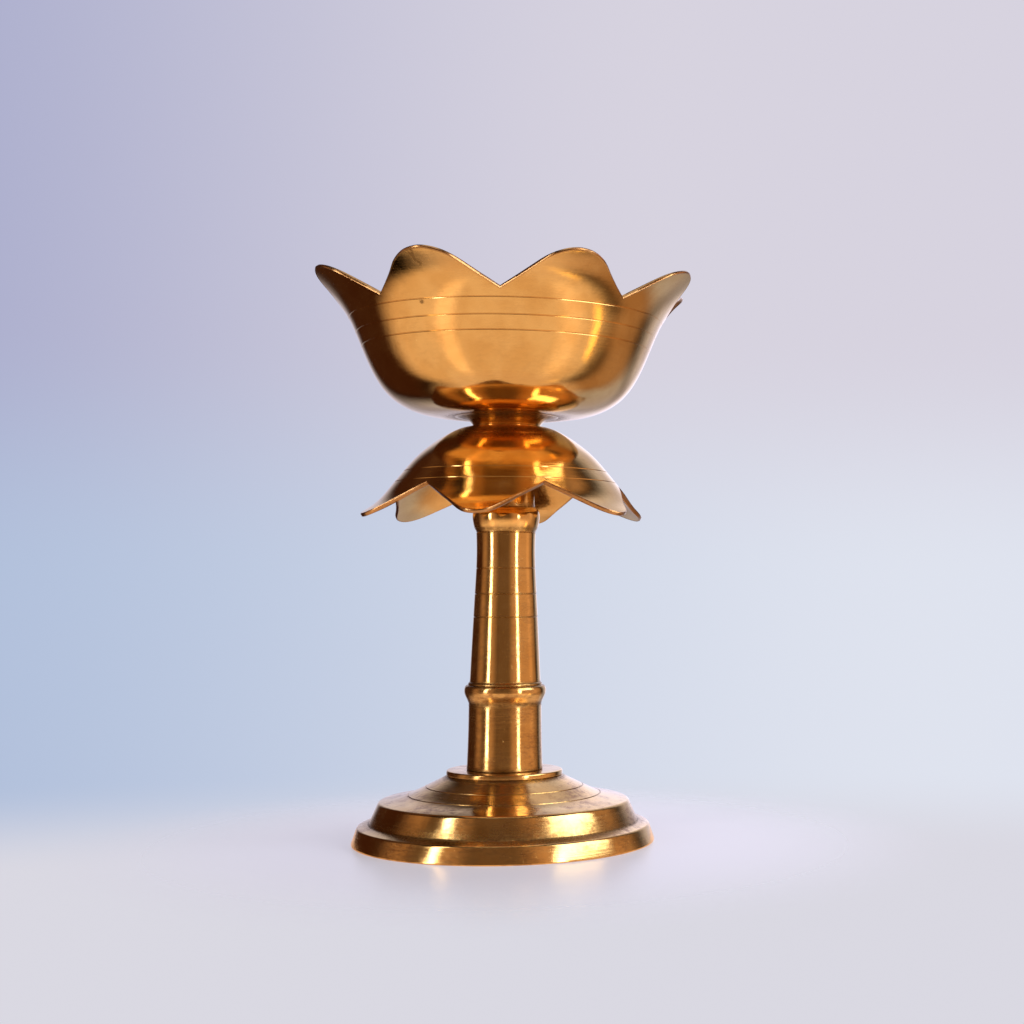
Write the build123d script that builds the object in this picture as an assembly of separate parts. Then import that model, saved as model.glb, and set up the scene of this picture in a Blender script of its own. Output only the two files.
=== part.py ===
from build123d import *
import math
import os

# A small brass oil lamp: a hollow turned foot, a two-section stem on a loose seat disc, an inverted
# lotus skirt and a lotus oil bowl, held together by two threaded studs and one threaded spigot.
# Millimetres. +Z is up along the lamp's axis and the origin is the centre of the foot's resting ring.
# An outline is drawn as (radius, height) and turned about Z.

# ---- overall
LAMP_HEIGHT = 110.0
FIT_GAP = 0.02              # film between faces that are clamped or soldered together
THREAD_CLEARANCE = 0.05     # radial, between a thread's crest and its tapped hole
THREAD_DEPTH_PER_PITCH = 0.64
GROOVE_HALF_WIDTH = 0.18    # the engraved lines are small V grooves

# ---- foot
FOOT_RADIUS = 29.55           # before its edge is rounded
FOOT_RING_INNER_RADIUS = 27.2
FOOT_TOP = 12.8
FOOT_TOP_RADIUS = 11.2
FLANGE_TOP = (28.25, 3.33)
LEDGE_FOOT = (26.0, 3.9)
TIER_TOP = (24.25, 8.0)
SLOPE_START = (21.4, 8.55)
SLOPE_GROOVES = [(18.7, 9.24), (15.3, 10.76)]
SLOPE_END_DIRECTION = (-1, 0.55)
BOSS_RADIUS = 8.4
BOSS_BOTTOM = 4.6
FOOT_EDGE_ROUNDINGS = [0.5, 0.3, 0.25, 0.8]         # rim, flange, ledge and tier
HOLLOW_ROOF = [(BOSS_RADIUS, 10.1), (12.0, 9.8)]    # under the slope, from the boss outwards
HOLLOW_WALL = [(21.2, 6.5), (22.9, 5.4), (24.4, 2.2), (FOOT_RING_INNER_RADIUS, 1.5)]
BOSS_ROUNDINGS = [0.5, 0.6]
HOLLOW_ROUNDINGS = [0.8, 0.8, 0.5, 0.5]

# ---- seat disc
DISC_RADIUS = 11.3
DISC_THICKNESS = 1.06
DISC_BOTTOM = FOOT_TOP + FIT_GAP
DISC_TOP = DISC_BOTTOM + DISC_THICKNESS

# ---- stem, lower section
STEM_BOTTOM = DISC_TOP + FIT_GAP
STEM_BOTTOM_RADIUS = 7.4
BEAD_START = (7.1, 26.8)
BEAD_WAIST = (7.75, 28.2)
BEAD_CROWN = (8.0, 29.3)
BEAD_TOP = (7.5, 30.3)
BEAD_DIRECTIONS = [(0.35, 1), (-1, 0.3)]    # of its outline, at its start and top

# ---- stem, upper section
SHAFT_BOTTOM = BEAD_TOP[1] + FIT_GAP
LIP_RADIUS = 7.2
LIP_HEIGHT = 0.35
SHAFT_OUTLINE = [(6.92, 31.0), (6.4, 42.0), (5.98, 50.0), (5.75, 57.5), (5.85, 60.5)]
SHAFT_GROOVES = [(6.3, 43.7), (6.06, 48.2), (5.88, 53.2), (5.83, 60.2)]
NECK_BEAD_OUTLINE = [(6.15, 61.0), (6.48, 62.2), (6.6, 63.4), (6.35, 64.6)]
NECK_BEAD_DIRECTIONS = [(0.4, 1), (-1, 0.15)]
NECK_START = 65.2
NECK_RADIUS = 5.65
SKIRT_WALL = 1.1
SKIRT_TOP = 81.0
NECK_TOP = SKIRT_TOP - SKIRT_WALL - FIT_GAP

# ---- lotus skirt
SKIRT_PETALS = 6
SKIRT_FIRST_PETAL = 18.5    # degrees about Z from +X to the middle of one petal
SKIRT_FLAT_RADIUS = 7.6
SKIRT_DIRECTIONS = [(1, -0.15), (1, -0.6)]  # of its outline, at the flat and past the tips
SKIRT_GROOVES = [(20.1, 72.0), (21.8, 69.9)]
SKIRT_VALLEY = 69.1
SKIRT_SHOULDER = (8.2, 65.35)   # sideways from the valley, and its height
SKIRT_TIP = 63.4
SKIRT_TIP_RADIUS = 28.9
SKIRT_OUTLINE = [
    (13.9, 78.0),
    (17.5, 75.0),
    (20.1, 72.0),
    (21.8, 69.9),
    (25.6, 65.6),
    (SKIRT_TIP_RADIUS, SKIRT_TIP),
    (29.8, 62.8),
]

# ---- bowl and its spigot
COLLAR_BOTTOM = SKIRT_TOP + FIT_GAP
COLLAR_BOTTOM_RADIUS = 6.6
COLLAR_EDGE = 0.25              # upright edge at the flared collar's foot and brim
COLLAR_TOP_RADIUS = 10.2
BOWL_BOTTOM = 83.1
BOWL_FLAT_RADIUS = 11.5
BOWL_WALL = 1.15
BOWL_PETALS = 8
BOWL_FIRST_PETAL = 20.1
BOWL_TIP = LAMP_HEIGHT
BOWL_TIP_RADIUS = 38.3
BOWL_OUTLINE = [
    (18.3, 84.15),
    (23.0, 87.0),
    (25.7, 90.6),
    (28.3, 96.2),
    (29.35, 98.75),
    (30.75, 101.75),
    (34.0, 106.0),
    (BOWL_TIP_RADIUS, BOWL_TIP),
    (39.4, 111.0),
]
BOWL_DIRECTIONS = [(1, 0), (1, 1)]
BOWL_GROOVES = [(28.3, 96.2), (29.35, 98.75), (30.75, 101.75)]
BOWL_VALLEY = 103.6
BOWL_SHOULDER = (6.7, 107.6)
TENON_RADIUS = 2.48
RIVET_RADIUS = 4.0
RIVET_HEIGHT = 1.0
RIVET_DIRECTIONS = [(-0.5, 1), (-1, 0)]

# ---- threads: radius over the crests and pitch of two Whitworth sizes
FOOT_THREAD_RADIUS = 7.94 / 2   # 5/16 inch
FOOT_THREAD_PITCH = 1.411
BOWL_THREAD_RADIUS = 6.35 / 2   # 1/4 inch
BOWL_THREAD_PITCH = 1.27
FOOT_STUD_BOTTOM = 5.3
FOOT_STUD_TOP = 21.8
STEM_STUD_BOTTOM = 23.4
STEM_STUD_TOP = 38.4
SPIGOT_BOTTOM = 70.2
HOLE_END_ROOM = 0.4             # free depth past the end of a stud
PASSING_CLEARANCE = 0.3         # radial, where a stud only passes through a plate

# ---- how the sheet pieces are cut
WALL_STEPS = 12                 # points that carry a wall's inner outline
GAP_MARGIN = 3.0                # how far a cutter runs past the sheet


def turned(edges):
    """The solid that a closed outline of (radius, height) sweeps about the lamp's axis."""
    return revolve(Plane.XZ * make_face(edges), Axis.Z)


def engraved(solid, rings):
    """The solid with a V groove at each (radius, height)."""
    for radius, height in rings:
        cutter = Pos(radius, height) * Rectangle(GROOVE_HALF_WIDTH, GROOVE_HALF_WIDTH, rotation=45)
        solid -= revolve(Plane.XZ * cutter, Axis.Z)
    return solid


def bore(radius, low, high):
    """A round cutter on the axis between two heights."""
    return Pos(0, 0, low) * Cylinder(radius, high - low, align=(Align.CENTER, Align.CENTER, Align.MIN))


def thread_outline(crest_radius, pitch, low, high):
    """Points up the outside of a stud: one V ring for each whole pitch that fits."""
    root_radius = crest_radius - THREAD_DEPTH_PER_PITCH * pitch
    rings = int((high - low) / pitch)
    start = (low + high - rings * pitch) / 2
    points = [(root_radius, low)]
    for ring in range(rings):
        points.append((root_radius, start + ring * pitch))
        points.append((crest_radius, start + (ring + 0.5) * pitch))
    points.append((root_radius, start + rings * pitch))
    points.append((root_radius, high))
    return points


def stud(crest_radius, pitch, low, high):
    """A headless threaded stud."""
    outline = [(0, low), *thread_outline(crest_radius, pitch, low, high), (0, high)]
    return turned(Polyline(*outline, close=True))


def walled_outline(plate_start, outer, wall):
    """The closed outline of a flat plate that runs into a curved wall. A positive wall lies on the left
    of the outer curve as it is followed outwards."""
    quarter_turn = math.copysign(90, wall)
    steps = [step / WALL_STEPS for step in range(WALL_STEPS + 1)]
    inner_points = [outer @ t + (outer % t).rotate(Axis.Z, quarter_turn) * abs(wall) for t in steps]
    inner = Spline(*inner_points)
    near, far = outer @ 0, inner @ 0
    return [
        Line((plate_start, near.Y), near),
        outer,
        Line(outer @ 1, inner @ 1),
        inner,
        Line(far, (plate_start, far.Y)),
        Line((plate_start, far.Y), (plate_start, near.Y)),
    ]


def petal_cutters(count, first_petal, tip_radius, valley, shoulder, tip):
    """Radial prisms that cut the gaps between the petals. Each gap is a V with straight sides up to the
    shoulders, then a curve that is level at the petals' tips."""
    half_gap = tip_radius * math.sin(math.pi / count)
    outward = math.copysign(GAP_MARGIN, tip - valley)
    side = (shoulder[0], shoulder[1] - valley)
    corner = (half_gap + GAP_MARGIN, tip)
    right = [
        Line((0, valley), shoulder),
        Spline(shoulder, (half_gap, tip), tangents=[side, (1, 0)]),
        Line((half_gap, tip), corner),
        Line(corner, (corner[0], tip + outward)),
    ]
    left = [edge.mirror(Plane.YZ) for edge in right]
    lid = Line((corner[0], tip + outward), (-corner[0], tip + outward))
    gap = make_face(right + left + [lid])
    start = Plane((tip_radius / 2, 0, 0), x_dir=(0, 1, 0), z_dir=(1, 0, 0))
    prism = extrude(start * gap, tip_radius / 2 + GAP_MARGIN)
    first_gap = first_petal + 180 / count
    return [Rot(0, 0, first_gap + k * 360 / count) * prism for k in range(count)]


def make_foot():
    """Two-tier hollow foot with a tapped boss under its top."""
    tapped = FOOT_THREAD_RADIUS + THREAD_CLEARANCE
    outside = FilletPolyline(
        (FOOT_RING_INNER_RADIUS, 0),
        (FOOT_RADIUS, 0),
        FLANGE_TOP,
        LEDGE_FOOT,
        TIER_TOP,
        SLOPE_START,
        radius=FOOT_EDGE_ROUNDINGS,
    )
    tier_direction = (SLOPE_START[0] - TIER_TOP[0], SLOPE_START[1] - TIER_TOP[1])
    slope = Spline(
        SLOPE_START,
        *SLOPE_GROOVES,
        (FOOT_TOP_RADIUS, FOOT_TOP),
        tangents=[tier_direction, SLOPE_END_DIRECTION],
    )
    inside = FilletPolyline(
        (FOOT_TOP_RADIUS, FOOT_TOP),
        (tapped, FOOT_TOP),
        (tapped, BOSS_BOTTOM),
        (BOSS_RADIUS, BOSS_BOTTOM),
        *HOLLOW_ROOF,
        *HOLLOW_WALL,
        (FOOT_RING_INNER_RADIUS, 0),
        radius=[0, 0, *BOSS_ROUNDINGS, 0, *HOLLOW_ROUNDINGS],
    )
    return engraved(turned([outside, slope, inside]), SLOPE_GROOVES)


def make_seat_disc():
    """Loose disc that the stem stands on."""
    hole = FOOT_THREAD_RADIUS + PASSING_CLEARANCE
    outline = FilletPolyline(
        (hole, DISC_BOTTOM),
        (DISC_RADIUS, DISC_BOTTOM),
        (DISC_RADIUS, DISC_TOP),
        (hole, DISC_TOP),
        radius=[0, 0.12, 0.15, 0],
        close=True,
    )
    return turned(outline)


def make_stem_lower():
    """Plain cylinder with a bead at its top, bored at both ends for the two studs."""
    foot_bore = FOOT_THREAD_RADIUS + FIT_GAP
    stud_bore = BOWL_THREAD_RADIUS + FIT_GAP
    outline = [
        Line((0, STEM_BOTTOM), (STEM_BOTTOM_RADIUS, STEM_BOTTOM)),
        Line((STEM_BOTTOM_RADIUS, STEM_BOTTOM), BEAD_START),
        Spline(BEAD_START, BEAD_WAIST, BEAD_CROWN, BEAD_TOP, tangents=BEAD_DIRECTIONS),
        Line(BEAD_TOP, (0, BEAD_TOP[1])),
        Line((0, BEAD_TOP[1]), (0, STEM_BOTTOM)),
    ]
    section = turned(outline)
    section -= bore(foot_bore, STEM_BOTTOM, FOOT_STUD_TOP + HOLE_END_ROOM)
    section -= bore(stud_bore, STEM_STUD_BOTTOM - HOLE_END_ROOM, BEAD_TOP[1])
    return section


def make_stem_upper():
    """Tapered shaft, bead and neck, bored below for the stem stud and tapped above for the spigot."""
    lip_top = SHAFT_BOTTOM + LIP_HEIGHT
    outline = [
        Polyline((0, SHAFT_BOTTOM), (LIP_RADIUS, SHAFT_BOTTOM), (LIP_RADIUS, lip_top), SHAFT_OUTLINE[0]),
        Spline(*SHAFT_OUTLINE),
        Line(SHAFT_OUTLINE[-1], NECK_BEAD_OUTLINE[0]),
        Spline(*NECK_BEAD_OUTLINE, (NECK_RADIUS, NECK_START), tangents=NECK_BEAD_DIRECTIONS),
        Polyline((NECK_RADIUS, NECK_START), (NECK_RADIUS, NECK_TOP), (0, NECK_TOP), (0, SHAFT_BOTTOM)),
    ]
    section = engraved(turned(outline), SHAFT_GROOVES)
    section -= bore(BOWL_THREAD_RADIUS + FIT_GAP, SHAFT_BOTTOM, STEM_STUD_TOP + HOLE_END_ROOM)
    section -= bore(BOWL_THREAD_RADIUS + THREAD_CLEARANCE, SPIGOT_BOTTOM - HOLE_END_ROOM, NECK_TOP)
    return section


def make_skirt():
    """Inverted lotus: a thin dome with a flat top, cut into petals that point down and out."""
    flat_end = (SKIRT_FLAT_RADIUS, SKIRT_TOP)
    outer = Spline(flat_end, *SKIRT_OUTLINE, tangents=SKIRT_DIRECTIONS)
    skirt = turned(walled_outline(BOWL_THREAD_RADIUS + PASSING_CLEARANCE, outer, -SKIRT_WALL))
    skirt = engraved(skirt, SKIRT_GROOVES)
    for cutter in petal_cutters(
        SKIRT_PETALS, SKIRT_FIRST_PETAL, SKIRT_TIP_RADIUS, SKIRT_VALLEY, SKIRT_SHOULDER, SKIRT_TIP
    ):
        skirt -= cutter
    return skirt


def make_bowl():
    """Lotus bowl: a thin round cup with a riveted hole in its floor and petals that point up and out."""
    flat_end = (BOWL_FLAT_RADIUS, BOWL_BOTTOM)
    outer = Spline(flat_end, *BOWL_OUTLINE, tangents=BOWL_DIRECTIONS)
    bowl = turned(walled_outline(TENON_RADIUS + FIT_GAP, outer, BOWL_WALL))
    bowl = engraved(bowl, BOWL_GROOVES)
    for cutter in petal_cutters(
        BOWL_PETALS, BOWL_FIRST_PETAL, BOWL_TIP_RADIUS, BOWL_VALLEY, BOWL_SHOULDER, BOWL_TIP
    ):
        bowl -= cutter
    return bowl


def make_bowl_spigot():
    """Threaded shank, flared collar and a tenon that is riveted over inside the bowl."""
    collar_top = BOWL_BOTTOM - FIT_GAP
    floor_top = BOWL_BOTTOM + BOWL_WALL + FIT_GAP
    shank = thread_outline(BOWL_THREAD_RADIUS, BOWL_THREAD_PITCH, SPIGOT_BOTTOM, COLLAR_BOTTOM)
    outline = [
        Polyline(
            (0, SPIGOT_BOTTOM),
            *shank,
            (COLLAR_BOTTOM_RADIUS, COLLAR_BOTTOM),
            (COLLAR_BOTTOM_RADIUS, COLLAR_BOTTOM + COLLAR_EDGE),
            (COLLAR_TOP_RADIUS, collar_top - COLLAR_EDGE),
            (COLLAR_TOP_RADIUS, collar_top),
            (TENON_RADIUS, collar_top),
            (TENON_RADIUS, floor_top),
            (RIVET_RADIUS, floor_top),
        ),
        Spline(
            (RIVET_RADIUS, floor_top),
            (0, floor_top + RIVET_HEIGHT),
            tangents=RIVET_DIRECTIONS,
        ),
        Line((0, floor_top + RIVET_HEIGHT), (0, SPIGOT_BOTTOM)),
    ]
    return turned(outline)


pieces = {
    "foot": make_foot(),
    "seat_disc": make_seat_disc(),
    "foot_stud": stud(FOOT_THREAD_RADIUS, FOOT_THREAD_PITCH, FOOT_STUD_BOTTOM, FOOT_STUD_TOP),
    "stem_lower": make_stem_lower(),
    "stem_stud": stud(BOWL_THREAD_RADIUS, BOWL_THREAD_PITCH, STEM_STUD_BOTTOM, STEM_STUD_TOP),
    "stem_upper": make_stem_upper(),
    "skirt": make_skirt(),
    "bowl_spigot": make_bowl_spigot(),
    "bowl": make_bowl(),
}

os.makedirs("parts", exist_ok=True)
for node, shape in pieces.items():
    export_step(shape, f"parts/{node}.step")
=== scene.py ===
"""The looks of a small brass standing oil lamp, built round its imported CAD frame.

Sizes are in millimetres, except those of the floor and the camera's distances, which are in metres.
"""

import math

import bpy
import numpy as np
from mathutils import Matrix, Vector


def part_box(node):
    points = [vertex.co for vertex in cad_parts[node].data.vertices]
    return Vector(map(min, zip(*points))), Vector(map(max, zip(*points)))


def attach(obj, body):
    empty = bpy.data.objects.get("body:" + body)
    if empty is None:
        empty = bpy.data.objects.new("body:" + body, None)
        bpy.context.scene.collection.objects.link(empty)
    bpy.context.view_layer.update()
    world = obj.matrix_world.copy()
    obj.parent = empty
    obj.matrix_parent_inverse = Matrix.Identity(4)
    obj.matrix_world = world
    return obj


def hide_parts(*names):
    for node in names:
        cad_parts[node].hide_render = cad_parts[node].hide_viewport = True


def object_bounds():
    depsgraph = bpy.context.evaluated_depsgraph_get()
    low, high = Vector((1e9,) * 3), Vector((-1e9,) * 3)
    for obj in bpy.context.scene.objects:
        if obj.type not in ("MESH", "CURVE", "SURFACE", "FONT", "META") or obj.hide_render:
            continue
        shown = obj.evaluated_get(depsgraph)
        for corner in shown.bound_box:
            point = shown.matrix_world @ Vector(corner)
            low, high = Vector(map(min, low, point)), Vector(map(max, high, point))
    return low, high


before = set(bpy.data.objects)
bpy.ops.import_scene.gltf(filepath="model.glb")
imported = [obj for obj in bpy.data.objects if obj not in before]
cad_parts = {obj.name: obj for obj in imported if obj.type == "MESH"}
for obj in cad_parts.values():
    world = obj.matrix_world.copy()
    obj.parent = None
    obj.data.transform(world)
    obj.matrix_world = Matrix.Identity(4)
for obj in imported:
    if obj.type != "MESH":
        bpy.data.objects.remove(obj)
cad_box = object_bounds()
bpy.context.scene.view_settings.view_transform = "Standard"

MM = 0.001
SEGMENTS = 256              # columns round a turned piece
STUD_SEGMENTS = 144
SPIGOT_SEGMENTS = 192
CHAMFER = 0.16              # broken edge of the sheet metal
GROOVE_HALF_WIDTH = 0.13
GROOVE_DEPTH = 0.09
SHARP_ANGLE = math.radians(38)

FOOT_THREAD = (1.411, 0.903)             # pitch and depth
BOWL_THREAD = (1.27, 0.813)
THREAD_DEPTH_PER_PITCH = 0.64
THREAD_ROWS = 12                         # rows of points to each turn
THREAD_RUNOUT = 0.8                      # turns over which a thread fades at its ends
TOOTH_SLOPE = 1.25
TOOTH_FLAT = 0.12                        # with the slope, sets the flats at a tooth's crest and root
FOOT_STUD_HOLE = 3.99                    # radii of the holes in the stem
STEM_STUD_HOLE = 3.195
NECK_HOLE = 3.225
NECK_RADIUS = 5.65
TENON_RADIUS = 2.48

YELLOW = (0.88, 0.58, 0.22)
# dark copper of the filed rims: painted shade, standing in for the darker surroundings the edge faces reflect
FILED_EDGE_SHADE = (0.40, 0.20, 0.09)
# dark brown of grime, also used as painted shade where parts meet and in grooves
GRIME_AND_SHADE = (0.075, 0.035, 0.012)
BUMP_DEPTH = 0.000012                    # in metres
LEAST_ROUGHNESS = 0.06

FLOOR_FADE = (0.035, 0.09)               # radii between which the floor melts into the backdrop
FLOOR_PAINT = (0.40, 0.40, 0.46)
FLOOR_GLOW = (0.35, 0.35, 0.40)
TABLE_GLOW = (0.60, 0.37, 0.21)         # what the lamp sees below itself

SKY_LEFT = (0.38, 0.40, 0.60)
SKY_RIGHT = (0.68, 0.65, 0.74)
HAZE_LEFT = (0.42, 0.51, 0.70)
HAZE_RIGHT = (0.74, 0.77, 0.86)
GROUND = (0.70, 0.69, 0.76)

WHITE = (1.0, 1.0, 1.0)
WARM = (1.0, 0.57, 0.34)
TABLE = (1.0, 0.70, 0.50)
EMBER = (1.0, 0.33, 0.15)
GOLD = (1.0, 0.60, 0.10)
BACKDROP = (0.90, 0.88, 1.12)

# Soft boxes and glows round the lamp. Azimuth from the camera's side, minus to the left: middle, half
# width and softness. Elevation: low, high and softness. All in degrees. Then strength and colour.
SOFT_BOXES = [
    (-57, 4, 2, -8, 48, 6, 6.0, WHITE),
    (-50, 14, 12, -25, 50, 10, 0.50, WARM),
    (-88, 12, 12, -14, 40, 8, 0.40, WARM),
    (43, 3.5, 2, -8, 24, 6, 6.0, WHITE),
    (68, 23, 3, 19, 48, 4, 4.5, WHITE),
    (34, 12, 14, -20, 50, 10, 0.55, WARM),
    (72, 26, 12, -20, 15, 8, 0.65, WARM),
    (105, 14, 10, -10, 60, 10, 0.45, WARM),
    (156, 20, 12, -12, 72, 8, 0.72, BACKDROP),
    (180, 20, 10, -12, 30, 10, 0.75, BACKDROP),
    (0, 180, 1, 74, 90, 6, 1.2, WHITE),
    (0, 34, 16, -25, 66, 10, 0.16, WARM),
    (180, 50, 14, 42, 66, 8, 0.10, WARM),
    (-10, 94, 12, -90, -14, 8, 0.90, TABLE),
    (-52, 7, 5, -60, -20, 10, 0.50, TABLE),
    (54, 9, 8, -60, -20, 10, 0.35, TABLE),
    (77, 3, 2, -34, -16, 4, 1.6, GOLD),
    (80, 5, 3, -80, -62, 5, 1.4, GOLD),
    (113, 16, 12, -90, -12, 8, 0.42, WARM),
    (164, 34, 10, -80, -16, 8, 0.52, BACKDROP),
    (-125, 30, 10, -46, 60, 10, 0.05, EMBER),
]
FLOOR_SEGMENTS = 96
FLOOR_DROP = 0.00002
SKY_BLEND = (-0.42, 0.12)                # sideways, from the left colour to the right one
HAZE_BLEND = (-0.42, 0.3)
HAZE_TOP = 9                             # elevations, in degrees
GROUND_EDGE = (-6.5, -9.5)

CAMERA_DISTANCE = 0.3186
CAMERA_HEIGHT = 0.0505
CAMERA_LENS = 56.27
CAMERA_SHIFT = -0.1999
YAW = math.radians(7.5)
PITCH = math.radians(2.5)
SENSOR_WIDTH = 36.0
CLIP_START = 0.01
CLIP_END = 20.0


# ---------------------------------------------------------------- outlines: arrays of (radius, height)
def unit(vector):
    vector = np.asarray(vector, float)
    return vector / np.linalg.norm(vector)


def spline(points, count, start=None, end=None):
    """Points along one smooth cubic curve through the given ones, with optional end directions."""
    knots = np.array(points, float)
    gaps = np.linalg.norm(np.diff(knots, axis=0), axis=1)
    chords = np.diff(knots, axis=0) / gaps[:, None]
    last = len(knots) - 1
    system = np.zeros((last + 1, last + 1))
    right = np.zeros((last + 1, 2))
    for i in range(1, last):
        system[i, i - 1 : i + 2] = gaps[i], 2 * (gaps[i - 1] + gaps[i]), gaps[i - 1]
        right[i] = 3 * (gaps[i] * chords[i - 1] + gaps[i - 1] * chords[i])
    for i, near, direction, chord in ((0, 1, start, chords[0]), (last, last - 1, end, chords[-1])):
        if direction is None:
            system[i, i], system[i, near], right[i] = 2, 1, 3 * chord
        else:
            system[i, i], right[i] = 1, unit(direction)
    slopes = np.linalg.solve(system, right)
    run = np.concatenate([[0], np.cumsum(gaps)])
    out = []
    for at in np.linspace(0, run[-1], count):
        i = min(int(np.searchsorted(run, at, side="right")) - 1, last - 1)
        gap = gaps[i]
        t = (at - run[i]) / gap
        out.append(
            (2 * t**3 - 3 * t**2 + 1) * knots[i]
            + (t**3 - 2 * t**2 + t) * gap * slopes[i]
            + (3 * t**2 - 2 * t**3) * knots[i + 1]
            + (t**3 - t**2) * gap * slopes[i + 1]
        )
    return np.array(out)


def rounded(corners, steps=5):
    """A polyline through (radius, height, rounding) corners, each rounded by that much."""
    points = [np.array(corner[:2], float) for corner in corners]
    out = [points[0]]
    for before, here, after, corner in zip(points, points[1:], points[2:], corners[1:]):
        rounding = corner[2]
        if not rounding:
            out.append(here)
            continue
        cut = min(rounding, np.linalg.norm(before - here) / 2.2, np.linalg.norm(after - here) / 2.2)
        first = here + unit(before - here) * cut
        second = here + unit(after - here) * cut
        for t in np.linspace(0, 1, steps):
            out.append((1 - t) ** 2 * first + 2 * t * (1 - t) * here + t**2 * second)
    return np.array(out + [points[-1]])


def run_length(path):
    return np.concatenate([[0], np.cumsum(np.linalg.norm(np.diff(path, axis=0), axis=1))])


def place(path, run, at):
    return np.array([np.interp(at, run, path[:, 0]), np.interp(at, run, path[:, 1])])


def engraved(path, rings, half_width=GROOVE_HALF_WIDTH, depth=GROOVE_DEPTH):
    """The path with a small flat-bottomed V cut in at the point nearest each ring. The metal is on the
    path's left."""
    for ring in rings:
        fine_run = np.linspace(0, run_length(path)[-1], 6000)
        fine = np.array([place(path, run_length(path), at) for at in fine_run[::20]])
        near = fine_run[::20][np.argmin(np.linalg.norm(fine - np.array(ring), axis=1))]
        run = run_length(path)
        start, stop = place(path, run, near - half_width), place(path, run, near + half_width)
        along = unit(stop - start)
        inward = np.array([-along[1], along[0]]) * depth
        notch = [
            start - along * half_width * 0.5,
            start,
            place(path, run, near - half_width * 0.3) + inward,
            place(path, run, near + half_width * 0.3) + inward,
            stop,
            stop + along * half_width * 0.5,
        ]
        clear = half_width * 1.6
        path = np.vstack([path[run < near - clear], notch, path[run > near + clear]])
    return path


def offset(path, distance):
    """The path moved sideways, to its left for a positive distance, which may differ from point to point."""
    along = np.gradient(path, axis=0)
    along /= np.linalg.norm(along, axis=1)[:, None]
    return path + np.stack([-along[:, 1], along[:, 0]], axis=1) * np.reshape(distance, (-1, 1))


# ---------------------------------------------------------------- meshes
def waves(seed, angle, height, amount, periods=(2, 3, 5)):
    """A gentle inward unevenness, between 0 and the amount, as hand finishing leaves."""
    random = np.random.default_rng(seed)
    total = 0
    for period in periods:
        total = total + np.sin(period * angle + height * random.uniform(0.05, 0.25) + random.uniform(0, 6.28))
    return amount * (0.5 - 0.5 * total / len(periods))


def mesh_object(name, points, faces, masks):
    mesh = bpy.data.meshes.new(name)
    mesh.from_pydata((np.asarray(points) * MM).tolist(), [], faces)
    for mask, values in masks.items():
        attribute = mesh.attributes.new(mask, "FLOAT", "POINT")
        attribute.data.foreach_set("value", np.asarray(values, np.float32))
    mesh.shade_smooth()
    mesh.set_sharp_from_angle(angle=SHARP_ANGLE)
    mesh.validate()
    piece = bpy.data.objects.new(name, mesh)
    bpy.context.scene.collection.objects.link(piece)
    return piece


def nearness(path, spots):
    """0 to 1 for each (radius, height): how close it is to any (radius, height, size) spot."""
    value = np.zeros(len(path))
    for radius, height, size in spots:
        distance = np.hypot(path[:, 0] - radius, path[:, 1] - height)
        value = np.maximum(value, np.exp(-((distance / size) ** 2)))
    return value


def turned(name, path, closed=True, thread=None, crevices=(), uneven=0.0, seed=1, segments=SEGMENTS):
    """A turned piece. The path runs with the metal on its left, either as a closed loop or from axis to
    axis. A thread is (crest radius, pitch, depth, low, high)."""
    path = np.asarray(path, float)
    angles = np.arange(segments) * 2 * math.pi / segments
    # the crevice mask paints joints and grooves darker: painted shade, with some grime
    crevice = nearness(path, crevices)
    points, dirt_and_shade, rows, faces = [], [], [], []
    for (radius, height), value in zip(path, crevice):
        if radius < 1e-6:
            rows.append([len(points)] * segments)
            points.append((0, 0, height))
            dirt_and_shade.append(value)
            continue
        rows.append(list(range(len(points), len(points) + segments)))
        radii = np.full(segments, radius)
        if uneven:
            radii = radii - waves(seed, angles, height, uneven)
        if thread:
            crest, pitch, depth, low, high = thread
            fade = np.clip(min(height - low, high - height) / (THREAD_RUNOUT * pitch), 0, 1)
            phase = (height / pitch - angles / (2 * math.pi)) % 1
            tooth = np.clip(np.abs(phase * 2 - 1) * TOOTH_SLOPE - TOOTH_FLAT, 0, 1)
            if abs(radius - crest) < 1e-6:
                radii = radii - depth * (fade * tooth + (1 - fade))
        points += list(zip(radii * np.cos(angles), radii * np.sin(angles), np.full(segments, height)))
        dirt_and_shade += [value] * segments
    count = len(rows)
    for i in range(count if closed else count - 1):
        low_row, high_row = rows[i], rows[(i + 1) % count]
        for j in range(segments):
            k = (j + 1) % segments
            corners = [low_row[j], low_row[k], high_row[k], high_row[j]]
            corners = list(dict.fromkeys(corners))
            if len(corners) > 2:
                faces.append(corners)
    return mesh_object(name, points, faces, {"crevice": dirt_and_shade})


def petal_edge(half_gap, valley, shoulder, tip, steps=24):
    """The height of the cut edge against the sideways distance from a valley: straight to the shoulder,
    then a curve that is level at the petal's tip."""
    side = unit((shoulder[0], shoulder[1] - valley))
    crown = spline([shoulder, (half_gap, tip)], steps, start=side, end=(1, 0))
    line = np.vstack([[0, valley], crown, [half_gap + 3, tip]])
    return lambda sideways: np.interp(sideways, line[:, 0], line[:, 1])


def crossing(path, run, angle, edge, upward, trim):
    """How far along the path the cut edge is met, at an angle from the middle of a valley."""
    above = (path[:, 1] - edge(path[:, 0] * math.sin(angle))) * upward + trim
    i = len(above) - 1 - int(np.argmax(above[::-1] < 0))
    i = min(i, len(path) - 2)
    share = above[i] / (above[i] - above[i + 1])
    return run[i] + np.clip(share, 0, 1) * (run[i + 1] - run[i])


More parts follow.
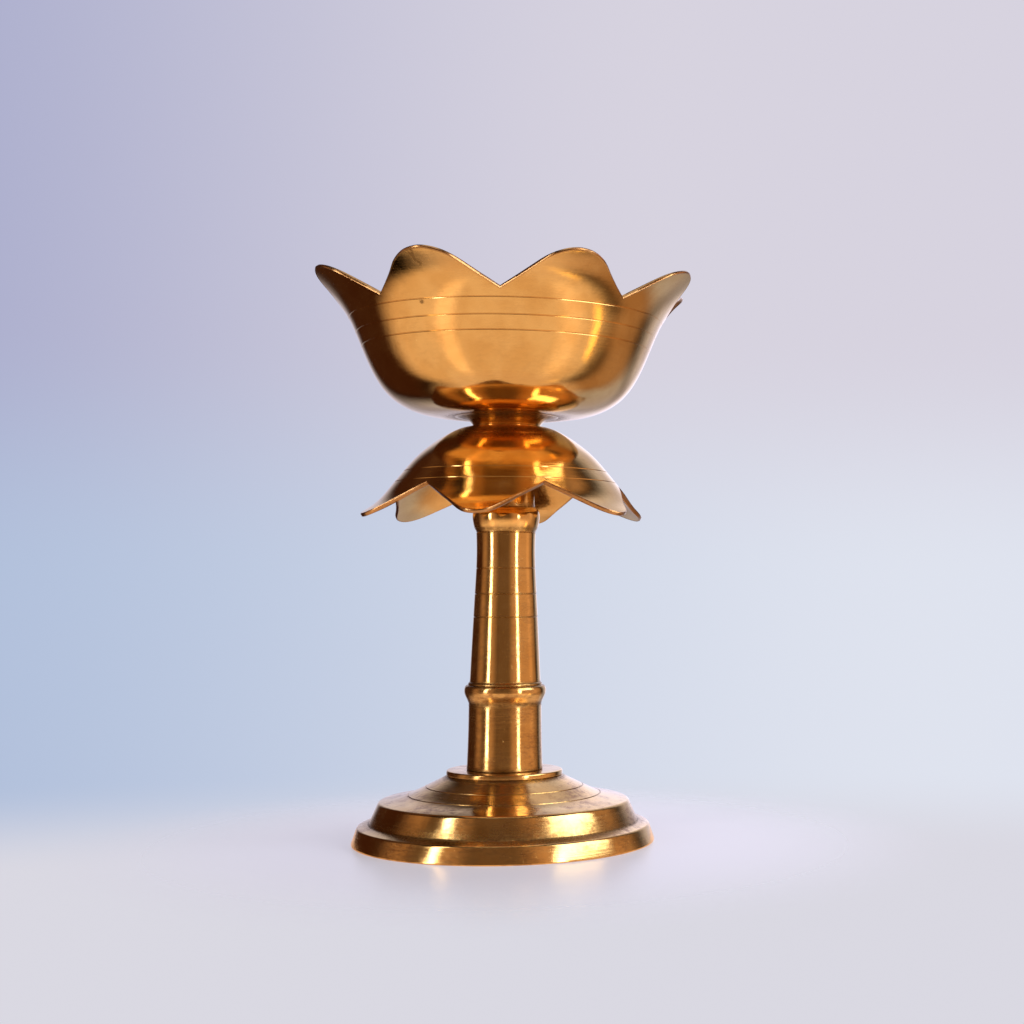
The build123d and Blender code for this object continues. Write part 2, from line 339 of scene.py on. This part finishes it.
def nearest_run(path, run, first, point):
    """How far past its point number first the path comes closest to a point."""
    starts, steps = path[first:-1], np.diff(path[first:], axis=0)
    lengths = np.linalg.norm(steps, axis=1)
    share = np.clip(((point - starts) * steps).sum(axis=1) / lengths**2, 0, 1)
    near = int(np.argmin(np.linalg.norm(starts + steps * share[:, None] - point, axis=1)))
    return run[first + near] - run[first] + share[near] * lengths[near]


def cut_rows(path, run, first, cut_at, rows):
    """Points spread along the path from its point number first to just short of the cut."""
    spread = np.linspace(0, 1, rows + 1)[1:]
    base = run[first]
    steps = base + (cut_at - 3 * CHAMFER - base) * spread
    return [place(path, run, at) for at in [*steps, cut_at - CHAMFER]]


def stain_mask(loop, angle, stains):
    """0 to 1 for each point: how deep it is in any (angle, height, half width, half height) stain."""
    mask = np.zeros(len(loop))
    for stain_angle, height, half_width, half_height in stains:
        sideways = loop[:, 0] * ((angle - math.radians(stain_angle) + math.pi) % (2 * math.pi) - math.pi)
        far = np.hypot(sideways / half_width, (loop[:, 1] - height) / half_height)
        mask = np.maximum(mask, np.exp(-(far**2)))
    return mask


def petalled(
    name, outer, inner, ring_height, count, first_petal, edge, columns, rows, seed, crevices=(), stains=()
):
    """Thin turned sheet with its free side cut into petals. Both paths run from the centre hole out past
    the tips; up to the ring they are used as they are, and from there on the rows spread to the edge."""
    upward = 1 if outer[-1, 1] > outer[0, 1] else -1
    outer_run, inner_run = run_length(outer), run_length(inner)
    outer_fixed = int(np.argmax((outer[:, 1] - ring_height) * upward > 0))
    inner_fixed = int(np.argmin(np.hypot(*(inner - outer[outer_fixed]).T)))
    guide, cut = (inner, inner_run) if upward > 0 else (outer, outer_run)
    random = np.random.default_rng(seed)
    trims = random.uniform(0.0, 0.05, count)
    total = count * columns
    points, dirt_and_shade, filed_and_shaded, stained = [], [], [], []
    for column in range(total):
        turn = column / columns
        petal, along = int(turn), turn % 1
        angle = math.radians(first_petal + (turn - 0.5) * 360 / count)
        from_valley = math.pi / count * (1 - abs(2 * along - 1))
        belly = math.sin(math.pi * along) ** 2
        rough = 0.012 * (1 + math.sin(turn * 17 + seed) * math.sin(turn * 31))
        trim = trims[petal] * belly + rough
        at = crossing(guide, cut, from_valley, edge, upward, trim)
        lip = place(guide, cut, at)
        out_at = outer_run[outer_fixed] + nearest_run(outer, outer_run, outer_fixed, lip)
        in_at = inner_run[inner_fixed] + nearest_run(inner, inner_run, inner_fixed, lip)
        outside = cut_rows(outer, outer_run, outer_fixed, out_at, rows)
        inside = cut_rows(inner, inner_run, inner_fixed, in_at, rows)
        lip_out, lip_in = place(outer, outer_run, out_at), place(inner, inner_run, in_at)
        across = unit(lip_in - lip_out) * CHAMFER
        rim = [lip_out + across, (lip_out + lip_in) / 2, lip_in - across]
        loop = np.vstack([
            outer[: outer_fixed + 1],
            outside,
            rim,
            inside[::-1],
            inner[: inner_fixed + 1][::-1],
        ])
        radii = loop[:, 0] - waves(seed, angle, loop[:, 1], 0.08)
        points.append(np.stack([radii * math.cos(angle), radii * math.sin(angle), loop[:, 1]], axis=1))
        # crevice mask: painted shade, with some grime, near the centre hole and the joints
        dirt_and_shade.append(nearness(loop, crevices))
        # marks the petals' cut edges, whose colour is painted darker as painted shade
        edge_mask = np.zeros(len(loop))
        rim_start = outer_fixed + 1 + len(outside)
        edge_mask[rim_start - 1 : rim_start + len(rim) + 1] = 1
        filed_and_shaded.append(edge_mask)
        spot = stain_mask(loop, angle, stains)
        spot[rim_start + 1 :] = 0
        stained.append(spot)
    per_loop = len(points[0])
    faces = []
    for column in range(total):
        here, there = column * per_loop, (column + 1) % total * per_loop
        for i in range(per_loop):
            k = (i + 1) % per_loop
            quad = [here + i, there + i, there + k, here + k]
            faces.append(quad if upward > 0 else quad[::-1])
    masks = {
        "crevice": np.concatenate(dirt_and_shade),
        "filed_and_shaded": np.concatenate(filed_and_shaded),
        "stain": np.concatenate(stained),
    }
    return mesh_object(name, np.concatenate(points), faces, masks)


# ---------------------------------------------------------------- the pieces' outlines
def reach(node):
    """(largest radius, lowest, highest) of a CAD node, in millimetres."""
    low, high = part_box(node)
    return max(high[0], -low[0], high[1], -low[1]) / MM, low[2] / MM, high[2] / MM


def upright(radius, low, high, step=0.8):
    """Points straight up a cylinder, or down it where high is below low."""
    count = max(2, round(abs(high - low) / step) + 1)
    return np.stack([np.full(count, radius), np.linspace(low, high, count)], axis=1)


def foot():
    radius, bottom, top = reach("foot")
    ring = radius - 2.12
    tier = (24.25, 8.0)
    shoulder = (21.4, 8.55)
    side = rounded([
        (radius - 1.0, bottom, 0),
        (radius + 0.1, bottom, 0.4),
        (28.25, 3.33, 0.35),
        (26.0, 3.9, 0.35),
        (*tier, 0.5),
        (*shoulder, 0),
    ], steps=7)
    grooves = [(18.7, 9.24), (15.3, 10.76)]
    end = (11.2, top)
    slope = spline([shoulder, *grooves, end], 60, start=np.subtract(shoulder, tier), end=(-1, 0.55))
    slope = engraved(slope, grooves)
    inside = rounded([
        (*end, 0),
        (4.02, top, 0.2),
        (4.02, 4.6, 0.2),
        (8.4, 4.6, 0.5),
        (8.4, 10.1, 0.6),
        (12.0, 9.8, 0),
        (21.2, 6.5, 0.8),
        (22.9, 5.4, 0.8),
        (24.4, 2.2, 0.5),
        (ring, 1.5, 0.5),
        (ring, bottom, 0.3),
        (radius - 1.1, bottom, 0),
    ])
    crevices = [(26.0, 3.9, 0.5), (11.5, top - 0.15, 0.7)]
    crevices += [(r, h, 0.15) for r, h in grooves]
    path = np.vstack([side[:-1], slope[:-1], inside])
    return turned("base_foot", path, crevices=crevices, uneven=0.06, seed=3)


def seat_disc():
    radius, bottom, top = reach("seat_disc")
    path = rounded([
        (6.0, bottom, 0),
        (radius, bottom, 0.25),
        (radius, top, 0.4),
        (4.27, top, 0.15),
        (4.27, bottom, 0.1),
        (5.9, bottom, 0),
    ], steps=6)
    crevices = [(7.4, top, 0.9), (radius - 0.4, bottom, 0.4)]
    return turned("loose_seat_disc", path, crevices=crevices, uneven=0.05, seed=5)


def stud(name, node, pitch, depth):
    radius, low, high = reach(node)
    path = np.vstack([
        [0, low],
        [radius - depth, low],
        upright(radius, low + 0.25, high - 0.25, pitch / THREAD_ROWS),
        [radius - depth, high],
        [0, high],
    ])
    thread = (radius, pitch, depth, low + 0.2, high - 0.2)
    return turned(name, path, closed=False, thread=thread, segments=STUD_SEGMENTS)


def base_stud():
    return stud("base_stud", "foot_stud", *FOOT_THREAD)


def middle_stud():
    return stud("middle_stud", "stem_stud", *BOWL_THREAD)


def stem_lower():
    _, bottom, top = reach("stem_lower")
    bead = spline([(7.1, 26.8), (7.75, 28.2), (8.0, 29.3), (7.5, top)], 26, start=(0.35, 1), end=(-1, 0.3))
    path = np.vstack([
        [0, 22.2],
        upright(FOOT_STUD_HOLE, 22.2, bottom + 0.2),
        [FOOT_STUD_HOLE + 0.2, bottom],
        [7.28, bottom],
        [7.4, bottom + 0.12],
        spline([(7.39, bottom + 0.3), (7.2, 20.0), (7.1, 26.8)], 24)[:-1],
        bead,
        upright(STEM_STUD_HOLE, top, 23.0),
        [0, 23.0],
    ])
    crevices = [(7.4, bottom, 0.5), (7.1, 26.8, 0.5), (7.5, top, 0.45)]
    return turned("stem_lower_section", path, closed=False, crevices=crevices, uneven=0.03, seed=7)


def stem_upper():
    _, bottom, top = reach("stem_upper")
    lip_radius, lip_top = 7.2, bottom + 0.35
    grooves = [(6.3, 43.7), (6.06, 48.2), (5.88, 53.2), (5.83, 60.2)]
    shaft = spline([(6.92, 31.0), (6.4, 42.0), (5.98, 50.0), (5.75, 57.5), (5.85, 60.5)], 90)
    bead = spline(
        [(6.15, 61.0), (6.48, 62.2), (6.6, 63.4), (6.35, 64.6), (5.65, 65.2)],
        26,
        start=(0.4, 1),
        end=(-1, 0.15),
    )
    path = np.vstack([
        [0, 38.8],
        upright(STEM_STUD_HOLE, 38.8, bottom),
        rounded([
            (3.3, bottom, 0),
            (lip_radius, bottom, 0.1),
            (lip_radius, lip_top, 0.12),
            (6.92, 30.95, 0),
        ]),
        engraved(shaft, grooves),
        bead,
        upright(NECK_RADIUS, 65.4, top),
        upright(NECK_HOLE, top, 69.8),
        [0, 69.8],
    ])
    crevices = [(r, h, 0.15) for r, h in grooves]
    crevices += [(7.0, 30.75, 0.4), (5.95, 60.8, 0.5), (5.65, 65.2, 0.6)]
    return turned("stem_upper_section", path, closed=False, crevices=crevices, uneven=0.03, seed=9)


def spigot():
    radius, low, high = reach("bowl_spigot")
    shank, pitch = 3.175, 1.27
    depth = THREAD_DEPTH_PER_PITCH * pitch
    collar_low = reach("skirt")[2] + 0.02
    collar_high = reach("bowl")[1] - 0.02
    floor_top = high - 1.0
    flare = spline([
        (6.6, collar_low + 0.1),
        (7.1, collar_low + 1.0),
        (8.4, collar_low + 1.72),
        (radius - 0.05, collar_high - 0.03),
    ], 24, start=(0.1, 1), end=(1, 0.06))
    dome = spline([
        (4.0, floor_top + 0.02),
        (2.6, high - 0.25),
        (0, high),
    ], 10, start=(-0.5, 1), end=(-1, 0))
    path = np.vstack([
        [0, low],
        [shank - depth, low],
        upright(shank, low + 0.25, collar_low - 0.3, pitch / THREAD_ROWS),
        [shank - depth, collar_low - 0.1],
        [shank - depth, collar_low],
        [6.5, collar_low],
        flare,
        [radius, collar_high],
        [TENON_RADIUS, collar_high],
        [TENON_RADIUS, floor_top],
        dome,
    ])
    thread = (shank, pitch, depth, low + 0.2, collar_low - 0.2)
    crevices = [(8.6, collar_high - 0.4, 1.5)]
    return turned(
        "bowl_spigot_shank",
        path,
        closed=False,
        thread=thread,
        crevices=crevices,
        segments=SPIGOT_SEGMENTS,
    )


def bowl():
    _, bottom, tip = reach("bowl")
    wall, thin, tip_radius, petals = 1.15, 0.62, 38.5, 8
    grooves = [(28.3, 96.2), (29.35, 98.75), (30.75, 101.75)]
    outer = spline([
        (11.5, bottom),
        (18.3, 84.15),
        (23.0, 87.0),
        (25.7, 90.6),
        *grooves,
        (34.0, 106.0),
        (tip_radius, tip),
        (39.4, 111.0),
    ], 190, start=(1, 0), end=(1, 1))
    inner = offset(outer, np.interp(outer[:, 1], (99.0, tip), (wall, thin)))
    hole = 2.5
    flat = np.stack([np.linspace(hole, 11.0, 12), np.full(12, bottom)], axis=1)
    outer = np.vstack([flat, outer])
    inner = np.vstack([flat + [0, wall], inner])
    outer = engraved(outer, grooves)
    edge = petal_edge(tip_radius * math.sin(math.pi / petals), 103.8, (6.7, 107.7), tip + 0.1)
    stains = [
        (-117.3, 108.7, 0.6, 0.75),
        (-116.8, 107.9, 0.45, 0.7),
        (-116.2, 107.2, 0.4, 0.5),
        (-120.3, 101.2, 0.45, 0.45),
    ]
    crevices = [(9.5, bottom, 2.8)]
    return petalled("lotus_bowl", outer, inner, 102.1, petals, 20.1, edge, 40, 34, 11, crevices, stains)


def skirt():
    _, tip, top = reach("skirt")
    wall, thin, tip_radius, petals = 1.1, 0.8, 28.9, 6
    grooves = [(20.1, 72.0), (21.8, 69.9)]
    outer = spline([
        (7.6, top),
        (13.9, 78.0),
        (17.5, 75.0),
        *grooves,
        (25.6, 65.6),
        (tip_radius, tip),
        (29.8, 62.8),
    ], 150, start=(1, -0.15), end=(1, -0.6))
    inner = offset(outer, -np.interp(outer[:, 1], (tip, 71.0), (thin, wall)))
    hole = 3.5
    flat = np.stack([np.linspace(hole, 7.2, 8), np.full(8, top)], axis=1)
    outer = np.vstack([flat, outer])
    inner = np.vstack([flat - [0, wall], inner])
    outer = engraved(outer, grooves, depth=-GROOVE_DEPTH)
    edge = petal_edge(tip_radius * math.sin(math.pi / petals), 69.1, (8.2, 65.35), tip)
    crevices = [(5.8, top, 1.2), (6.0, top - wall, 1.2)]
    return petalled("lotus_skirt", outer, inner, 69.6, petals, 18.5, edge, 44, 26, 13, crevices)


# ---------------------------------------------------------------- shader nodes
class Shader:
    """A small writer of node trees."""

    def __init__(self, owner):
        owner.use_nodes = True
        self.tree = owner.node_tree
        self.tree.nodes.clear()

    def node(self, kind, inputs=None, **settings):
        made = self.tree.nodes.new(kind)
        for name, value in settings.items():
            setattr(made, name, value)
        for name, value in (inputs or {}).items():
            self.put(made.inputs[name], value)
        return made

    def put(self, socket, value):
        if isinstance(value, bpy.types.NodeSocket):
            self.tree.links.new(value, socket)
        else:
            socket.default_value = value

    def math(self, operation, *values, clamp=False):
        made = self.node("ShaderNodeMath", operation=operation, use_clamp=clamp)
        for socket, value in zip(made.inputs, values):
            self.put(socket, value)
        return made.outputs[0]

    def total(self, values):
        result = values[0]
        for value in values[1:]:
            result = self.math("ADD", result, value)
        return result

    def ramp(self, value, low, high, out_low=0.0, out_high=1.0):
        """The value mapped smoothly from low..high to out_low..out_high, and held beyond."""
        made = self.node("ShaderNodeMapRange", interpolation_type="SMOOTHSTEP")
        for socket, number in zip(made.inputs, (value, low, high, out_low, out_high)):
            self.put(socket, number)
        return made.outputs[0]

    def mix(self, factor, first, second):
        made = self.node("ShaderNodeMix", data_type="RGBA")
        self.put(made.inputs[0], factor)
        self.put(made.inputs[6], first)
        self.put(made.inputs[7], second)
        return made.outputs[2]

    def noise(self, vector, scale, detail=3.0, w=None, roughness=0.5):
        made = self.node("ShaderNodeTexNoise", noise_dimensions="3D" if w is None else "4D")
        self.put(made.inputs["Vector"], vector)
        self.put(made.inputs["Scale"], scale)
        self.put(made.inputs["Detail"], detail)
        self.put(made.inputs["Roughness"], roughness)
        if w is not None:
            self.put(made.inputs["W"], w)
        return made.outputs[0]

    def xyz(self, x, y, z):
        made = self.node("ShaderNodeCombineXYZ")
        for socket, value in zip(made.inputs, (x, y, z)):
            self.put(socket, value)
        return made.outputs[0]

    def mask(self, name):
        return self.node("ShaderNodeAttribute", attribute_name=name).outputs["Fac"]


def colour(red, green, blue):
    return (red, green, blue, 1.0)


def brass(name, tone, roughness, lines, spread, streaks=0.0, haze=0.3, film=0.3, nicked=0.0):
    """Turned brass. lines is how strong its lathe lines are, spread how far they stretch a highlight,
    streaks how strong the lengthwise polishing marks are, haze how much of it is dulled by handling, film
    how much less metallic the dulled part is, and nicked how strong the stray nicks are."""
    material = bpy.data.materials.new(name)
    s = Shader(material)
    place_mm = s.node("ShaderNodeVectorMath", operation="SCALE")
    s.put(place_mm.inputs[0], s.node("ShaderNodeTexCoord").outputs["Object"])
    s.put(place_mm.inputs["Scale"], 1000.0)
    point = place_mm.outputs[0]
    split = s.node("ShaderNodeSeparateXYZ", inputs={"Vector": point})
    x, y, z = split.outputs
    radius = s.math("SQRT", s.math("ADD", s.math("MULTIPLY", x, x), s.math("MULTIPLY", y, y)))
    safe = s.math("MAXIMUM", radius, 0.5)
    around = s.xyz(s.math("DIVIDE", x, safe), s.math("DIVIDE", y, safe), z)

    # lathe lines: rings that come and go a little on their way round
    ring_point = s.xyz(s.math("DIVIDE", x, safe), s.math("DIVIDE", y, safe), s.math("MULTIPLY", z, 3.2))
    rings = s.noise(ring_point, 1.0, 4.0, s.math("MULTIPLY", radius, 3.2), 0.65)
    # lengthwise polishing marks
    long_point = s.xyz(s.math("MULTIPLY", x, 3.0), s.math("MULTIPLY", y, 3.0), s.math("MULTIPLY", z, 0.12))
    marks = s.noise(long_point, 1.0, 3.0, roughness=0.6)
    # clouds of handling haze, and a finer mottle in them
    cloud = s.ramp(s.noise(point, 0.13, 4.0, roughness=0.6), 0.38, 0.6)
    brushed = s.xyz(s.math("MULTIPLY", x, 0.5), s.math("MULTIPLY", y, 0.5), s.math("MULTIPLY", z, 1.3))
    mottle = s.ramp(s.noise(brushed, 1.1, 6.0, roughness=0.75), 0.42, 0.62)
    dulled = s.math("MULTIPLY", s.math("MULTIPLY", cloud, haze), s.math("MULTIPLY_ADD", mottle, 0.7, 0.3))
    # turning lines too fine to cut as geometry, and stray nicks
    fine_point = s.xyz(s.math("DIVIDE", x, safe), s.math("DIVIDE", y, safe), s.math("MULTIPLY", z, 9.0))
    turning = s.noise(fine_point, 1.0, 2.0, s.math("MULTIPLY", radius, 9.0), 0.5)
    nick_point = s.xyz(s.math("MULTIPLY", x, 1.9), s.math("MULTIPLY", y, 1.9), s.math("MULTIPLY", z, 1.1))
    nicks = s.math("MULTIPLY", s.ramp(s.noise(nick_point, 1.0, 6.0, roughness=0.8), 0.66, 0.72), nicked)
    # grime and painted shade in the crevices: joints, grooves and the hollows under parts are painted darker
    grime_and_shade = s.math("MULTIPLY", s.mask("crevice"), s.ramp(s.noise(point, 1.6, 4.0), 0.25, 0.7, 0.45, 1.0))
    patchy = s.ramp(s.noise(point, 1.3, 3.0), 0.3, 0.6, 0.5, 1.3)
    stain = s.math("MULTIPLY", s.mask("stain"), patchy, clamp=True)
    dirt_and_shade = s.math("MAXIMUM", grime_and_shade, s.ramp(stain, 0.2, 0.75, 0.0, 0.85))
    filed_and_shaded = s.mask("filed_and_shaded")

    red, green, blue = tone
    deeper = colour(red * 0.9, green * 0.84, blue * 0.75)
    clean = s.mix(s.ramp(s.noise(point, 0.16, 3.0), 0.35, 0.65), colour(*tone), deeper)
    worn = s.mix(dulled, clean, colour(red * 0.5, green * 0.4, blue * 0.35))
    # the filed rims painted dark copper as painted shade; their extra roughness and bump are the real filing
    edged = s.mix(s.math("MULTIPLY", filed_and_shaded, 0.75), worn, colour(*FILED_EDGE_SHADE))
    # crevices and stains painted darker: the stains are real, the crevice darkening is grime and painted
    # shade
    base = s.mix(s.math("MULTIPLY", dirt_and_shade, 0.8), edged, colour(*GRIME_AND_SHADE))

    fine = s.ramp(rings, 0.3, 0.7, -1.0, 1.0)
    rough = s.total([
        s.math("MULTIPLY", fine, 0.05 * lines),
        s.math("MULTIPLY", nicks, 0.2),
        s.math("MULTIPLY", dulled, 0.16),
        s.math("MULTIPLY", dirt_and_shade, 0.35),
        s.math("MULTIPLY", filed_and_shaded, 0.12),
        s.math("MULTIPLY_ADD", marks, 0.08 * streaks, roughness),
    ])
    height = s.total([
        s.math("MULTIPLY", rings, lines),
        s.math("MULTIPLY", turning, 0.5 * lines),
        s.math("MULTIPLY", nicks, -3.0),
        s.math("MULTIPLY", marks, 0.7 * streaks),
        s.math("MULTIPLY", s.noise(point, 0.35, 2.0), 2.0),
        s.math("MULTIPLY", s.noise(around, 9.0, 2.0), s.math("MULTIPLY", filed_and_shaded, 3.0)),
    ])
    bump = s.node("ShaderNodeBump", inputs={"Strength": 1.0, "Distance": BUMP_DEPTH, "Height": height})
    tangent = s.node("ShaderNodeTangent", direction_type="RADIAL", axis="Z")
    shader = s.node(
        "ShaderNodeBsdfPrincipled",
        inputs={
            "Base Color": base,
            "Metallic": s.math("MULTIPLY_ADD", dulled, -film, 1.0),
            "Roughness": s.math("MAXIMUM", rough, LEAST_ROUGHNESS),
            "Normal": bump.outputs[0],
            "Anisotropic": spread,
            "Anisotropic Rotation": 0.25,
            "Tangent": tangent.outputs[0],
        },
    )
    s.node("ShaderNodeOutputMaterial", inputs={"Surface": shader.outputs[0]})
    return material


# ---------------------------------------------------------------- the stage
def floor_material():
    material = bpy.data.materials.new("pale_floor")
    s = Shader(material)
    point = s.node("ShaderNodeTexCoord").outputs["Object"]
    split = s.node("ShaderNodeSeparateXYZ", inputs={"Vector": point})
    x, y, _ = split.outputs
    radius = s.math("SQRT", s.math("ADD", s.math("MULTIPLY", x, x), s.math("MULTIPLY", y, y)))
    seen = s.node("ShaderNodeLightPath").outputs["Is Camera Ray"]
    paint = s.node(
        "ShaderNodeBsdfPrincipled",
        inputs={
            "Base Color": colour(*FLOOR_PAINT),
            "Roughness": 0.3,
            "Specular IOR Level": 0.15,
            "Emission Color": s.mix(seen, colour(*TABLE_GLOW), colour(*FLOOR_GLOW)),
            "Emission Strength": 1.0,
        },
    )
    clear = s.node("ShaderNodeBsdfTransparent")
    mixed = s.node("ShaderNodeMixShader", inputs={"Fac": s.ramp(radius, *FLOOR_FADE)})
    s.put(mixed.inputs[1], paint.outputs[0])
    s.put(mixed.inputs[2], clear.outputs[0])
    s.node("ShaderNodeOutputMaterial", inputs={"Surface": mixed.outputs[0]})
    return material


def make_floor():
    angles = np.arange(FLOOR_SEGMENTS) * 2 * math.pi / FLOOR_SEGMENTS
    radius = FLOOR_FADE[1]
    points = [(0, 0, 0)]
    points += [(radius * math.cos(a), radius * math.sin(a), 0) for a in angles]
    faces = [(0, 1 + i, 1 + (i + 1) % FLOOR_SEGMENTS) for i in range(FLOOR_SEGMENTS)]
    mesh = bpy.data.meshes.new("floor")
    mesh.from_pydata(points, [], faces)
    floor = bpy.data.objects.new("floor", mesh)
    floor.location.z = cad_box[0][2] - FLOOR_DROP
    bpy.context.scene.collection.objects.link(floor)
    mesh.materials.append(floor_material())


def make_world():
    world = bpy.data.worlds.new("soft_studio")
    bpy.context.scene.world = world
    s = Shader(world)
    direction = s.node("ShaderNodeTexCoord").outputs["Generated"]
    split = s.node("ShaderNodeSeparateXYZ", inputs={"Vector": direction})
    x, y, z = split.outputs
    azimuth = s.math("DEGREES", s.math("ARCTAN2", x, s.math("MULTIPLY", y, -1.0)))
    elevation = s.math("DEGREES", s.math("ARCSINE", z))

    lights = {}
    for middle, half, soft, low, high, edge, strength, tint in SOFT_BOXES:
        turned_by = s.math("SUBTRACT", azimuth, float(middle))
        aside = s.math("ABSOLUTE", s.math("WRAP", turned_by, 180.0, -180.0))
        above = s.math("ABSOLUTE", s.math("SUBTRACT", elevation, (low + high) / 2))
        wide = s.ramp(aside, half + soft, half - soft)
        tall = s.ramp(above, (high - low) / 2 + edge, (high - low) / 2 - edge)
        lights.setdefault(tint, []).append(s.math("MULTIPLY", s.math("MULTIPLY", wide, tall), strength))
    studio = None
    for tint, strengths in lights.items():
        glow = s.node("ShaderNodeBackground", inputs={"Color": colour(*tint), "Strength": s.total(strengths)})
        if studio is None:
            studio = glow
            continue
        joined = s.node("ShaderNodeAddShader")
        s.put(joined.inputs[0], studio.outputs[0])
        s.put(joined.inputs[1], glow.outputs[0])
        studio = joined

    sky = s.mix(s.ramp(x, *SKY_BLEND), colour(*SKY_LEFT), colour(*SKY_RIGHT))
    haze = s.mix(s.ramp(x, *HAZE_BLEND), colour(*HAZE_LEFT), colour(*HAZE_RIGHT))
    above = s.mix(s.ramp(elevation, 0, HAZE_TOP), haze, sky)
    seen = s.mix(s.ramp(elevation, *GROUND_EDGE), above, colour(*GROUND))
    backdrop = s.node("ShaderNodeBackground", inputs={"Color": seen, "Strength": 1.0})
    ray = s.node("ShaderNodeLightPath").outputs["Is Camera Ray"]
    both = s.node("ShaderNodeMixShader", inputs={"Fac": ray})
    s.put(both.inputs[1], studio.outputs[0])
    s.put(both.inputs[2], backdrop.outputs[0])
    s.node("ShaderNodeOutputWorld", inputs={"Surface": both.outputs[0]})


def make_camera():
    data = bpy.data.cameras.new("camera")
    data.lens = CAMERA_LENS
    data.sensor_width = SENSOR_WIDTH
    data.shift_x = CAMERA_SHIFT
    data.clip_start = CLIP_START
    data.clip_end = CLIP_END
    camera = bpy.data.objects.new("camera", data)
    camera.location = (0, -CAMERA_DISTANCE, CAMERA_HEIGHT)
    camera.rotation_euler = (math.pi / 2 + PITCH, 0, -YAW)
    bpy.context.scene.collection.objects.link(camera)
    bpy.context.scene.camera = camera


# ---------------------------------------------------------------- the lamp
polished = brass("polished_brass", YELLOW, 0.085, 0.5, 0.4, streaks=0.3, haze=0.16, film=0.15, nicked=0.25)
shaft_brass = brass("shaft_brass", YELLOW, 0.06, 0.6, 0.5, streaks=0.7, haze=0.5, film=0.2, nicked=1.0)
satin = brass("satin_brass", YELLOW, 0.07, 1.2, 0.65, streaks=0.3, haze=1.0, film=0.12, nicked=0.6)
threaded = brass("threaded_brass", YELLOW, 0.26, 0.4, 0.0, haze=0.5)
neck_brass = brass("neck_brass", YELLOW, 0.09, 0.4, 0.3, streaks=0.4)

PIECES = [
    (foot, "foot", "foot", "satin_brass", satin),
    (seat_disc, "seat_disc", "disc", "satin_brass", satin),
    (base_stud, "foot_stud", "stem", "threaded_brass", threaded),
    (stem_lower, "stem_lower", "stem", "satin_brass", satin),
    (middle_stud, "stem_stud", "stem", "threaded_brass", threaded),
    (stem_upper, "stem_upper", "stem", "polished_brass", shaft_brass),
    (skirt, "skirt", "skirt", "polished_brass", polished),
    (spigot, "bowl_spigot", "bowl", "threaded_brass", neck_brass),
    (bowl, "bowl", "bowl", "polished_brass", polished),
]
for make, node, body, slot, material in PIECES:
    piece = make()
    piece.data.materials.append(material)
    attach(piece, body)
    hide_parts(node)

make_floor()
make_world()
make_camera()
